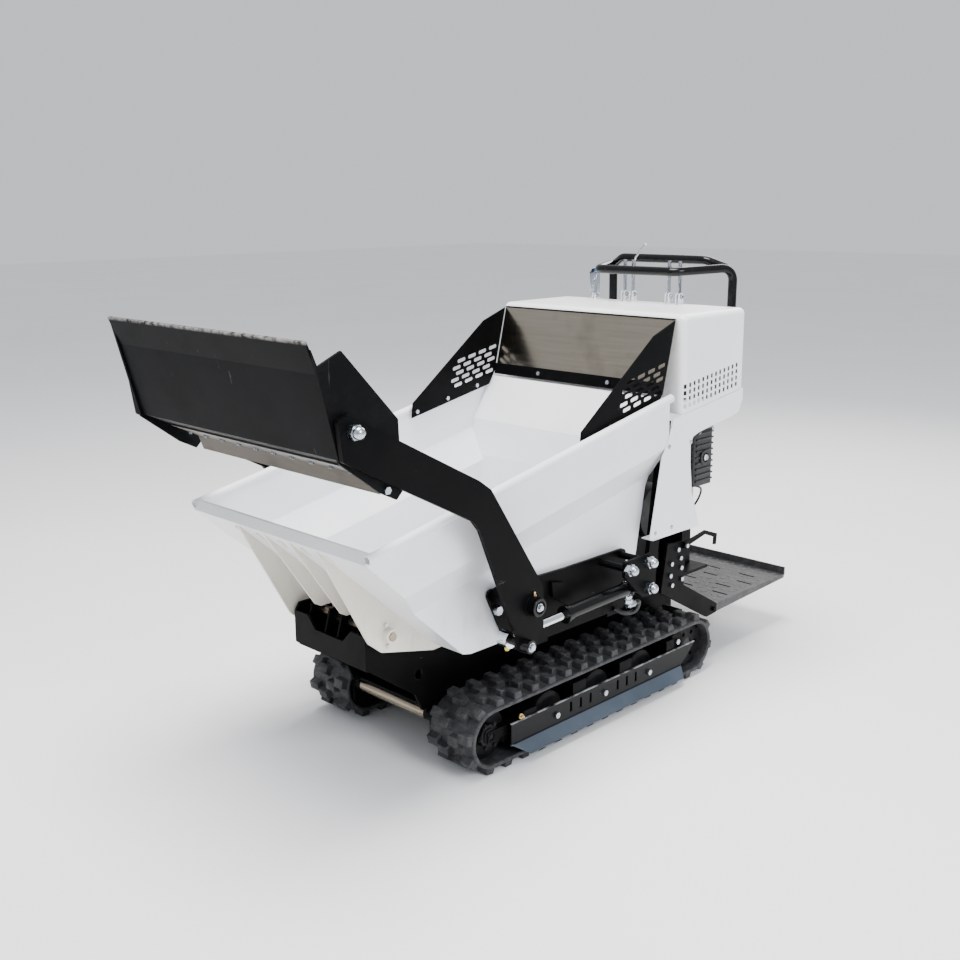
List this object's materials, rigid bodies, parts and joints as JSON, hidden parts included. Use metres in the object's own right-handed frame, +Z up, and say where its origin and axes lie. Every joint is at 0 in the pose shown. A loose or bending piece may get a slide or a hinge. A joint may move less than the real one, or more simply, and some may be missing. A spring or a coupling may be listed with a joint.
{
  "type": "power wheelbarrow",
  "caption": "Rubber-tracked power wheelbarrow with a forward-tipping skip, a hydraulic self-loading shovel on two lift arms, a rear engine hood, a handlebar and a fold-up operator platform.",
  "frame": {"origin": "on the ground under the middle of the machine's bounding box", "axes": "+X forward, towards the shovel; +Y to the machine's left; +Z up"},
  "size_m": [2.279, 1.0054, 1.4405],
  "materials": {
    "black_powder_coat": "satin",
    "white_powder_coat": "satin",
    "track_rubber": "matte",
    "wheel_steel": "satin",
    "zinc_fastener": "satin",
    "shovel_paint": "satin",
    "strip_steel": "satin",
    "chrome_rod": "polished",
    "bright_sheet": "satin",
    "ground_shaft": "satin",
    "engine_casting": "matte",
    "black_plastic": "matte",
    "raw_aluminium": "cast",
    "platform_plate": "satin",
    "zinc_lever": "satin"
  },
  "bodies": {
    "machine": {"air_filter": "black_plastic", "arm_pivot_pins": "black_powder_coat", "carburettor": "raw_aluminium", "chassis_frame": "black_powder_coat", "cylinder_brackets": "black_powder_coat", "drive_motors": "engine_casting", "engine_block": "engine_casting", "engine_hood": "white_powder_coat", "exhaust_muffler": "engine_casting", "frame_fasteners": "zinc_fastener", "fuel_tank": "black_plastic", "handlebar": "black_powder_coat", "hydraulic_pump": "engine_casting", "oil_tank": "black_powder_coat", "platform_brackets": "black_powder_coat", "rear_uprights": "black_powder_coat", "side_channels": "black_powder_coat", "side_panel_left": "white_powder_coat", "side_panel_right": "white_powder_coat", "tilt_shaft": "ground_shaft", "track_belt_left": "track_rubber", "track_belt_right": "track_rubber", "track_covers": "black_powder_coat", "track_frame_left": "black_powder_coat", "track_frame_right": "black_powder_coat", "valve_block": "raw_aluminium"},
    "lift_arms": {"lift_arm_left": "black_powder_coat", "lift_arm_right": "black_powder_coat", "rod_end_pins": "black_powder_coat", "shovel": "shovel_paint", "shovel_back_strip": "strip_steel", "shovel_fasteners": "zinc_fastener"},
    "lift_cylinder_rods": {"lift_rods": "chrome_rod"},
    "lift_cylinder_barrels": {"lift_barrels": "black_powder_coat"},
    "skip": {"skip_body": "white_powder_coat", "skip_ribs": "white_powder_coat", "guard_sides": "black_powder_coat", "guard_back_panel": "bright_sheet", "guard_strip": "black_powder_coat", "guard_bolts": "zinc_fastener"},
    "tip_cylinder_rod": {"tip_rod": "chrome_rod"},
    "tip_cylinder_barrel": {"tip_barrel": "black_powder_coat"},
    "platform": {"platform": "platform_plate"},
    "latch_hook": {"latch_hook": "black_powder_coat"},
    "drive_lever_right": {"drive_lever_right": "zinc_lever"},
    "drive_lever_left": {"drive_lever_left": "zinc_lever"},
    "tip_lever": {"tip_lever": "zinc_lever"},
    "shovel_lever": {"shovel_lever": "zinc_lever"},
    "brake_lever": {"brake_lever": "zinc_lever"},
    "throttle_lever": {"throttle_lever": "black_powder_coat"},
    "drive_sprocket_left": {"drive_sprocket_left": "wheel_steel"},
    "idler_wheel_left": {"idler_wheel_left": "wheel_steel"},
    "track_roller_1_left": {"track_roller_1_left": "wheel_steel"},
    "track_roller_2_left": {"track_roller_2_left": "wheel_steel"},
    "track_roller_3_left": {"track_roller_3_left": "wheel_steel"},
    "drive_sprocket_right": {"drive_sprocket_right": "wheel_steel"},
    "idler_wheel_right": {"idler_wheel_right": "wheel_steel"},
    "track_roller_1_right": {"track_roller_1_right": "wheel_steel"},
    "track_roller_2_right": {"track_roller_2_right": "wheel_steel"},
    "track_roller_3_right": {"track_roller_3_right": "wheel_steel"}
  },
  "joints": [
    {"name": "arm_lift", "type": "hinge", "parent": "machine", "child": "lift_arms", "pos_m": [0.4365, 0, 0.521], "axis": [0, 1, 0], "range_deg": [-12, 77]},
    {"name": "lift_rod_pivot", "type": "hinge", "parent": "lift_arms", "child": "lift_cylinder_rods", "pos_m": [0.4685, 0, 0.416], "axis": [0, 1, 0], "range_deg": [-82.23, 13.66]},
    {"name": "lift_cylinder_stroke", "type": "slide", "parent": "lift_cylinder_rods", "child": "lift_cylinder_barrels", "axis": [0.9997, 0, -0.0257], "range_m": [-0.022, 0.133]},
    {"name": "skip_tip", "type": "hinge", "parent": "machine", "child": "skip", "pos_m": [0.7135, 0, 0.437], "axis": [0, 1, 0], "range_deg": [0, 48]},
    {"name": "tip_rod_pivot", "type": "hinge", "parent": "skip", "child": "tip_cylinder_rod", "pos_m": [0.3265, 0, 0.332], "axis": [0, 1, 0], "range_deg": [-80, 1]},
    {"name": "tip_cylinder_stroke", "type": "slide", "parent": "tip_cylinder_rod", "child": "tip_cylinder_barrel", "axis": [0.9578, 0, 0.2873], "range_m": [-0.2, 0.001]},
    {"name": "platform_fold", "type": "hinge", "parent": "machine", "child": "platform", "pos_m": [-0.6435, 0, 0.196], "axis": [0, 1, 0], "range_deg": [0, 84]},
    {"name": "latch_swing", "type": "hinge", "parent": "machine", "child": "latch_hook", "pos_m": [-0.4535, 0.338, 0.47], "axis": [0, 1, 0], "range_deg": [0, 35]},
    {"name": "drive_lever_right_travel", "type": "hinge", "parent": "machine", "child": "drive_lever_right", "pos_m": [-0.6515, -0.092, 1.268], "axis": [0, 1, 0], "range_deg": [-18, 18], "stiffness_Nm_per_rad": 1.5},
    {"name": "drive_lever_left_travel", "type": "hinge", "parent": "machine", "child": "drive_lever_left", "pos_m": [-0.6515, -0.056, 1.268], "axis": [0, 1, 0], "range_deg": [-18, 18], "stiffness_Nm_per_rad": 1.5},
    {"name": "tip_lever_travel", "type": "hinge", "parent": "machine", "child": "tip_lever", "pos_m": [-0.6515, 0.098, 1.268], "axis": [0, 1, 0], "range_deg": [-18, 18], "stiffness_Nm_per_rad": 1.5},
    {"name": "shovel_lever_travel", "type": "hinge", "parent": "machine", "child": "shovel_lever", "pos_m": [-0.6515, 0.142, 1.268], "axis": [0, 1, 0], "range_deg": [-18, 18], "stiffness_Nm_per_rad": 1.5},
    {"name": "brake_lever_travel", "type": "hinge", "parent": "machine", "child": "brake_lever", "pos_m": [-0.6475, -0.2235, 1.256], "axis": [0, 1, 0], "range_deg": [0, 25]},
    {"name": "throttle_lever_travel", "type": "hinge", "parent": "machine", "child": "throttle_lever", "pos_m": [-0.6715, -0.07, 1.251], "axis": [0, 1, 0], "range_deg": [0, 12]},
    {"name": "drive_spin_left", "type": "hinge", "parent": "machine", "child": "drive_sprocket_left", "pos_m": [-0.4885, 0.278, 0.11], "axis": [0, 1, 0], "continuous": true},
    {"name": "idler_spin_left", "type": "hinge", "parent": "machine", "child": "idler_wheel_left", "pos_m": [0.4815, 0.278, 0.11], "axis": [0, 1, 0], "continuous": true},
    {"name": "roller_1_spin_left", "type": "hinge", "parent": "machine", "child": "track_roller_1_left", "pos_m": [0.2225, 0.278, 0.096], "axis": [0, 1, 0], "continuous": true},
    {"name": "roller_2_spin_left", "type": "hinge", "parent": "machine", "child": "track_roller_2_left", "pos_m": [-0.0035, 0.278, 0.096], "axis": [0, 1, 0], "continuous": true},
    {"name": "roller_3_spin_left", "type": "hinge", "parent": "machine", "child": "track_roller_3_left", "pos_m": [-0.2285, 0.278, 0.096], "axis": [0, 1, 0], "continuous": true},
    {"name": "drive_spin_right", "type": "hinge", "parent": "machine", "child": "drive_sprocket_right", "pos_m": [-0.4885, -0.278, 0.11], "axis": [0, 1, 0], "continuous": true},
    {"name": "idler_spin_right", "type": "hinge", "parent": "machine", "child": "idler_wheel_right", "pos_m": [0.4815, -0.278, 0.11], "axis": [0, 1, 0], "continuous": true},
    {"name": "roller_1_spin_right", "type": "hinge", "parent": "machine", "child": "track_roller_1_right", "pos_m": [0.2225, -0.278, 0.096], "axis": [0, 1, 0], "continuous": true},
    {"name": "roller_2_spin_right", "type": "hinge", "parent": "machine", "child": "track_roller_2_right", "pos_m": [-0.0035, -0.278, 0.096], "axis": [0, 1, 0], "continuous": true},
    {"name": "roller_3_spin_right", "type": "hinge", "parent": "machine", "child": "track_roller_3_right", "pos_m": [-0.2285, -0.278, 0.096], "axis": [0, 1, 0], "continuous": true}
  ],
  "couplings": [
    {"joint": "lift_rod_pivot", "follows": "arm_lift", "ratio": -1.055},
    {"joint": "lift_cylinder_stroke", "follows": "arm_lift", "m_per_rad": 0.098},
    {"joint": "tip_rod_pivot", "follows": "skip_tip", "ratio": -1.66},
    {"joint": "tip_cylinder_stroke", "follows": "skip_tip", "m_per_rad": -0.235},
    {"joint": "idler_spin_left", "follows": "drive_spin_left", "ratio": 1.013},
    {"joint": "roller_1_spin_left", "follows": "drive_spin_left", "ratio": 1.2188},
    {"joint": "roller_2_spin_left", "follows": "drive_spin_left", "ratio": 1.2188},
    {"joint": "roller_3_spin_left", "follows": "drive_spin_left", "ratio": 1.2188},
    {"joint": "idler_spin_right", "follows": "drive_spin_right", "ratio": 1.013},
    {"joint": "roller_1_spin_right", "follows": "drive_spin_right", "ratio": 1.2188},
    {"joint": "roller_2_spin_right", "follows": "drive_spin_right", "ratio": 1.2188},
    {"joint": "roller_3_spin_right", "follows": "drive_spin_right", "ratio": 1.2188}
  ]
}
